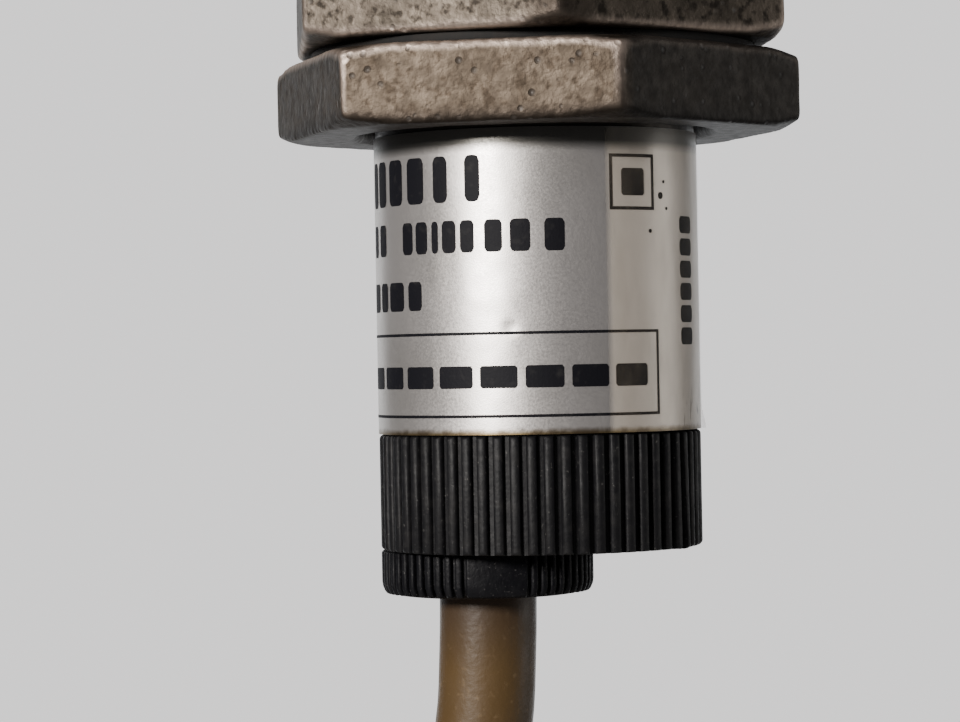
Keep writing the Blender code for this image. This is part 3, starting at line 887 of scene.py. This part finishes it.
def printed(left, right, low, high, corner):
    """A block of ink with rounded corners, as a fine grid, so that it can follow the barrel."""
    width, height = right - left, high - low
    corner = min(corner, width * 0.5, height * 0.5)
    piece = flat_sheet("ink_block", left, right, low, high, max(8, int(width / 0.09)), 4)
    middle = (low + high) / 2
    for vertex in piece.data.vertices:
        arc, _, up = vertex.co / MM
        into_corner = max(0.0, corner - min(arc - left, right - arc))
        lost = corner - math.sqrt(max(0.0, corner**2 - into_corner**2))
        vertex.co.z = (middle + (up - middle) * (1 - 2 * lost / height)) * MM
    block_parts.append(piece)


# %% Rows of print
row_one = [(-11.9, -10.95), (-10.65, -9.6), (-9.15, -7.9), (-7.45, -6.25), (-5.6, -4.75), (-3.75, -2.95)]
row_two = [(-11.9, -11.1), (-10.6, -9.7), (-7.9, -7.1), (-6.85, -6.05), (-5.75, -5.35), (-5.1, -4.3)]
row_two += [(-4.05, -3.3), (-2.75, -1.85), (-1.45, -0.45), (0.25, 1.25)]
row_three = [(-12.2, -10.9), (-10.5, -9.6), (-9.3, -7.9), (-7.5, -6.5)]
rows = [(row_one, -7.85, -5.55, 0.3), (row_two, -10.35, -8.75, 0.22), (row_three, -13.15, -11.7, 0.22)]
for row, low, high, corner in rows:
    for left, right in row:
        printed(left, right, low, high, corner)
print("blocks", len(block_parts))

# %% Boxed row, square mark and outlines
LINE = 0.14
BOLD_LINE = 0.16
for index in range(8):
    left = -12.3 + index * 2.3
    printed(left, left + 1.9, -17.05, -15.95, 0.12)
for low in (-14.42, -18.5):
    printed(-12.9, 6.52, low, low + LINE, 0.0)
printed(6.38, 6.38 + LINE, -18.5, -14.28, 0.0)
for low in (-5.76, -8.36):
    printed(3.62, 6.36, low, low + BOLD_LINE, 0.0)
for left in (3.62, 6.2):
    printed(left, left + BOLD_LINE, -8.36, -5.6, 0.0)
printed(4.3, 5.68, -7.65, -6.3, 0.12)

# %% Side row and specks
for index in range(6):
    high = -8.6 - index * 1.12
    printed(8.55, 9.95, high - 0.86, high, 0.22)
for arc, up, size in ((7.13, -6.93, 0.16), (6.87, -7.63, 0.34), (7.34, -8.26, 0.16), (6.08, -9.4, 0.2)):
    half = size / 2
    printed(arc - half, arc + half, up - half, up + half, size * 0.45)

# %% Wrap the print
bpy.ops.object.select_all(action="DESELECT")
for piece in block_parts:
    piece.select_set(True)
bpy.context.view_layer.objects.active = block_parts[0]
bpy.ops.object.join()
print_layer = bpy.context.object
print_layer.name = "label_print"
print_layer.data.name = "label_print"
roll_up(print_layer, LABEL_R + 0.018)
thicken(print_layer, 0.03, -1.0)
fit(print_layer, "sensor", "black_plastic", ink)

# %% [markdown]
# ## Clear tape
# A strip of clear tape covers the right of the label and runs round the back. It has yellowed, and its lower corner
# has lifted and crumpled.

# %% Tape with a lifted corner
tape_strip = flat_sheet("clear_tape", 3.4, 34.0, LABEL_LOW + 0.02, LABEL_HIGH - 0.05, 220, 64)
for vertex in tape_strip.data.vertices:
    arc, _, up = vertex.co / MM
    corner = max(0.0, 1.0 - math.hypot((arc - 11.2) / 2.2, (up + 19.4) / 1.7))
    ripple = 0.5 + 0.5 * math.sin(arc * 5.0 + up * 3.0)
    vertex.co.y -= (0.30 * corner * corner + 0.10 * corner * ripple) * MM
roll_up(tape_strip, LABEL_R + 0.06)
thicken(tape_strip, 0.02, -1.0)
smooth(tape_strip, 80)
fit(tape_strip, "sensor", "clear_film", tape, "label_film")

# %% [markdown]
# ## Indicator
# A clear rod carries the light of the diode to the rear face of the cap. Its end is rounded like a lens.

# %% Light rod
LENS_LOW = -25.45
lens = round_bar("light_rod", 1.2, LENS_LOW, -12.5, (LENS_X, 0.0), 48)
choose_edges(lens, lambda a, b: abs(a.z - LENS_LOW) < 0.01 and abs(b.z - LENS_LOW) < 0.01)
bpy.ops.mesh.bevel(offset=0.14 * MM, segments=4, affect="EDGES")
put_down()
smooth(lens)
clear_rod = start_finish("clear_rod", (0.85, 0.80, 0.70), 0.12)
shader_of(clear_rod).inputs["Transmission Weight"].default_value = 0.85
tint(clear_rod, cloud(clear_rod, 1.0, 0.5, 0.8), (0.7, 0.62, 0.5))
fit(lens, "sensor", "clear_lens", clear_rod, "indicator_lens")

# %% [markdown]
# ## Strap round the hank
# A hook-and-loop strap holds the turns together. It is one band that follows the outermost strands, so it is drawn as
# a path round their four corners, extruded to its width and thickened.

# %% Strap path
STRAP_GAP = 2.75
STRAP_HALF_WIDTH = 5.0
strap_z = (HANK_TOP + HANK_LOW) / 2
corners = [
    (left_x, LAYER / 2, 180, 270),
    (HANK_X + HANK_R, LAYER, 270, 360),
    (HANK_X + HANK_R, TURNS * LAYER, 0, 90),
    (left_x, (TURNS + 0.5) * LAYER, 90, 180),
]
strap_path = []
for x, y, first, last in corners:
    for step in range(9):
        angle = math.radians(first + (last - first) * step / 8)
        strap_path.append((x + STRAP_GAP * math.cos(angle), y + STRAP_GAP * math.sin(angle)))
strap_line = bpy.data.curves.new("hank_strap", "CURVE")
strap_line.dimensions = "3D"
loop = strap_line.splines.new("POLY")
loop.points.add(len(strap_path) - 1)
loop.use_cyclic_u = True
for point, (x, y) in zip(loop.points, strap_path):
    point.co = (x * MM, y * MM, strap_z * MM, 1.0)
strap_line.extrude = STRAP_HALF_WIDTH * MM
strap_curve = bpy.data.objects.new("hank_strap", strap_line)
bpy.context.scene.collection.objects.link(strap_curve)
take(strap_curve)
bpy.ops.object.convert(target="MESH")
strap = bpy.context.object

# %% Strap thickness and weave
face_outwards((bpy.ops.mesh.remove_doubles, {"threshold": 0.00001}))
thicken(strap, 0.8, 1.0)
break_edges(strap, 0.2, 2, 60)
smooth(strap)
strap_cloth = start_finish("strap_cloth", (0.014, 0.014, 0.015), 0.85)
weft = (1.0, 1.0, 4.0)
tint(strap_cloth, cloud(strap_cloth, 0.5, 0.5, 0.75, 2.0, weft), (0.05, 0.05, 0.052))
emboss(strap_cloth, cloud(strap_cloth, 0.4, 0.3, 0.7, 2.0, weft), 0.08)
fit(strap, "sensor", "black_rubber", strap_cloth, "hank_tie")

# %% [markdown]
# ## Pieces inside the housing
# The coil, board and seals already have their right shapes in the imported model. Each one keeps its mesh and gets the
# finish of its own material, from copper wire to green board.

# %% Finishes for the inner pieces


def plain_finish(name, colour, rough, metal, other, grain, depth):
    """A finish with one cloudy second colour and a raised grain."""
    finish = start_finish(name, colour, rough, metal)
    tint(finish, cloud(finish, grain * 3, 0.45, 0.72), other)
    vary(finish, "Roughness", cloud(finish, grain * 2, 0.4, 0.7), min(1.0, rough + 0.15))
    emboss(finish, cloud(finish, grain, 0.3, 0.7), depth)
    return finish


# Slot: name, colour, roughness, metal share, second colour, grain in mm, relief in mm.
recipes = {
    "brass": ("yellow_brass", (0.72, 0.52, 0.24), 0.32, 1.0, (0.5, 0.33, 0.13), 0.4, 0.006),
    "copper": ("wound_copper", (0.78, 0.36, 0.18), 0.30, 1.0, (0.55, 0.20, 0.08), 0.25, 0.02),
    "tinned_copper": ("tinned_wire", (0.66, 0.65, 0.63), 0.35, 1.0, (0.45, 0.43, 0.40), 0.2, 0.02),
    "white_plastic": ("white_plastic", (0.80, 0.79, 0.74), 0.5, 0.0, (0.72, 0.70, 0.62), 0.4, 0.006),
    "black_rubber": ("black_rubber", (0.018, 0.018, 0.018), 0.75, 0.0, (0.05, 0.05, 0.05), 0.4, 0.012),
    "ferrite": ("grey_ferrite", (0.05, 0.05, 0.055), 0.6, 0.0, (0.09, 0.09, 0.095), 0.3, 0.012),
    "ceramic": ("fired_ceramic", (0.55, 0.40, 0.22), 0.5, 0.0, (0.42, 0.28, 0.14), 0.3, 0.010),
    "orange_glass": ("orange_glass", (0.70, 0.22, 0.05), 0.15, 0.0, (0.5, 0.12, 0.03), 0.5, 0.002),
    "board_green": ("board_green", (0.03, 0.16, 0.07), 0.42, 0.0, (0.02, 0.10, 0.05), 0.8, 0.008),
    "insulating_paper": ("insulating_paper", (0.45, 0.30, 0.14), 0.65, 0.0, (0.36, 0.22, 0.10), 0.5, 0.01),
    "potting_resin": ("potting_resin", (0.05, 0.04, 0.033), 0.3, 0.0, (0.03, 0.025, 0.02), 1.2, 0.02),
    "amber_lens": ("amber_lens", (0.90, 0.38, 0.05), 0.2, 0.0, (0.8, 0.28, 0.03), 0.5, 0.002),
    "brown_wire": ("brown_wire", (0.14, 0.05, 0.02), 0.42, 0.0, (0.10, 0.035, 0.015), 0.5, 0.006),
    "blue_wire": ("blue_wire", (0.02, 0.10, 0.36), 0.42, 0.0, (0.015, 0.07, 0.27), 0.5, 0.006),
}
finishes = {slot: plain_finish(*recipe) for slot, recipe in recipes.items()}
finishes["black_plastic"] = black_plastic
finishes["olive_cable_jacket"] = olive_jacket
finishes["clear_lens"] = clear_rod
print("finishes", len(finishes))

# %% Give every carried-over piece its finish
slots = {row["node"]: row["material_slot"] for row in frame["record"]["subparts"]}
for name, piece in frame["nodes"].items():
    if piece.hide_render:
        continue
    for index in range(len(piece.material_slots)):
        piece.material_slots[index].material = finishes[slots[name]]
    print(name, slots[name])

# %% [markdown]
# The cable has two bared conductors.

# %% [markdown]
# ## Studio
# The backdrop is one even pale grey, and the floor is a pale disc below the cable. A soft warm lamp on the left gives
# the label its upright highlight, and a weak lamp far on the right lifts the edge. A wide lamp behind lights the
# undersides. The surroundings are dimmer than the backdrop, so that metal keeps its darks.

# %% World
world = bpy.data.worlds.new("studio")
bpy.context.scene.world = world
world.use_nodes = True
wires = world.node_tree
surroundings = wires.nodes["Background"]
surroundings.inputs["Color"].default_value = (0.92, 0.93, 1.0, 1.0)
surroundings.inputs["Strength"].default_value = 0.11
backdrop = wires.nodes.new("ShaderNodeBackground")
backdrop.inputs["Color"].default_value = (1.0, 0.985, 0.985, 1.0)
backdrop.inputs["Strength"].default_value = 1.2
seen = wires.nodes.new("ShaderNodeLightPath")
either = wires.nodes.new("ShaderNodeMixShader")
wires.links.new(seen.outputs["Is Camera Ray"], either.inputs[0])
wires.links.new(surroundings.outputs[0], either.inputs[1])
wires.links.new(backdrop.outputs[0], either.inputs[2])
wires.links.new(either.outputs[0], wires.nodes["World Output"].inputs["Surface"])

# %% Floor
FLOOR_Z = -223.0
bpy.ops.object.select_all(action="DESELECT")
bpy.ops.mesh.primitive_circle_add(
    vertices=180, radius=420 * MM, fill_type="NGON", location=(0.0, 0.0, FLOOR_Z * MM)
)
floor = bpy.context.object
floor.name = "floor"
pale = start_finish("pale_floor", (0.62, 0.61, 0.60), 0.7)
tint(pale, cloud(pale, 60.0, 0.4, 0.7), (0.60, 0.59, 0.58))
floor.data.materials.append(pale)

# %% Lamps
LABEL_MIDDLE = Vector((0.0, 0.0, -12.0))


def soft_lamp(name, azimuth, height, distance, width, tall, power, colour):
    """A soft lamp, placed by its angle from the front and sized in mm, that faces the label."""
    angle = math.radians(azimuth)
    target = LABEL_MIDDLE * MM
    spot = Vector((math.sin(angle) * distance, -math.cos(angle) * distance, height)) * MM
    bpy.ops.object.select_all(action="DESELECT")
    bpy.ops.object.light_add(type="AREA", location=spot)
    lamp = bpy.context.object
    lamp.name = name
    lamp.rotation_euler = (target - spot).to_track_quat("-Z", "Y").to_euler()
    lamp.data.shape = "RECTANGLE"
    lamp.data.size = width * MM
    lamp.data.size_y = tall * MM
    lamp.data.energy = power
    lamp.data.color = colour
    lamp.visible_camera = False
    print(name, tuple(spot))


soft_lamp("key_lamp", -37, 80, 420, 80, 60, 3.7, (1.0, 0.955, 0.915))
soft_lamp("side_lamp", 100, 20, 420, 160, 300, 0.47, (1.0, 0.97, 0.93))
soft_lamp("back_lamp", 180, -60, 500, 800, 500, 1.5, (0.96, 0.98, 1.0))
